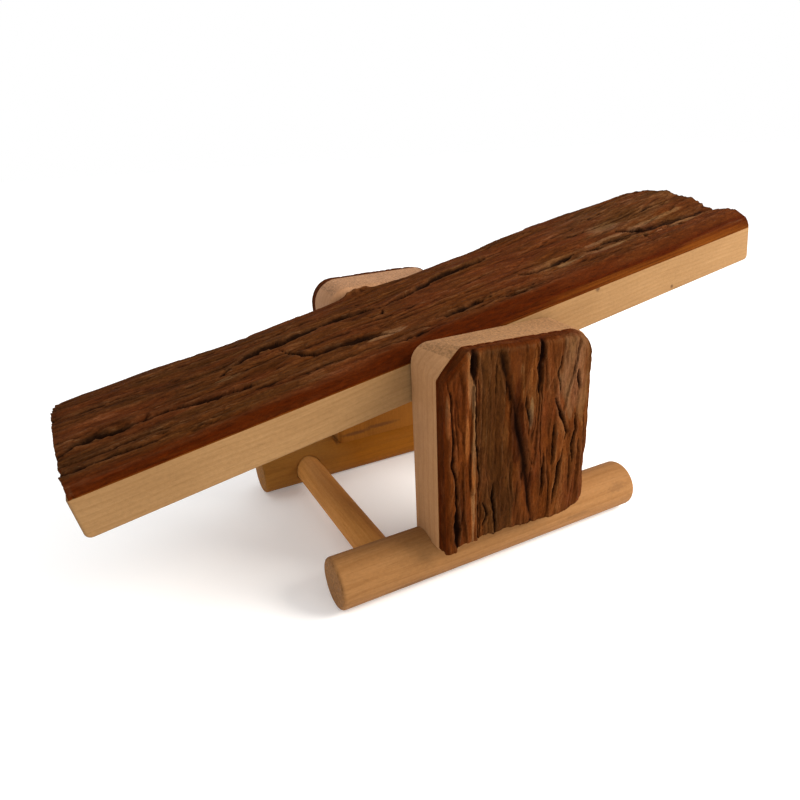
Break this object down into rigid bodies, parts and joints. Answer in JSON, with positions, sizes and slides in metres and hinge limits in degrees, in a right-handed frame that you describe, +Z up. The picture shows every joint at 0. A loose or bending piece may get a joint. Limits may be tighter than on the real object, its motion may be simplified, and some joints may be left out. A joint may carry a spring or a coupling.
{
  "type": "small pet seesaw",
  "caption": "Small pet seesaw of natural wood: a bark-topped plank rocking on a dowel between bark-faced side panels on a round dowel frame.",
  "frame": {"origin": "on the floor, at the middle of the base", "axes": "+X along the plank and the skids, towards the plank's raised end; +Z up; the near side panel is towards -Y"},
  "size_m": [0.2188, 0.099, 0.0955],
  "materials": {
    "plank_wood": "sawn and lightly sanded, unfinished",
    "panel_wood": "sawn and lightly sanded, unfinished",
    "dowel_wood": "turned and smooth, unfinished",
    "bark": "rough natural bark with plates and furrows",
    "screw_steel": "plain zinc-plated steel"
  },
  "bodies": {
    "base": {"pivot_dowel": "dowel_wood", "near_panel_board": "panel_wood", "near_panel_bark": "bark", "near_skid": "dowel_wood", "near_screw_left": "screw_steel", "near_screw_right": "screw_steel", "far_panel_board": "panel_wood", "far_panel_bark": "bark", "far_skid": "dowel_wood", "far_screw_left": "screw_steel", "far_screw_right": "screw_steel", "left_crossbar": "dowel_wood", "right_crossbar": "dowel_wood"},
    "plank": {"plank_board": "plank_wood", "plank_bark": "bark"}
  },
  "joints": [
    {"name": "plank_tilt", "type": "hinge", "parent": "base", "child": "plank", "pos_m": [0.00055, 0, 0.06225], "axis": [0, 1, 0], "range_deg": [-21.9, 41.2]}
  ]
}
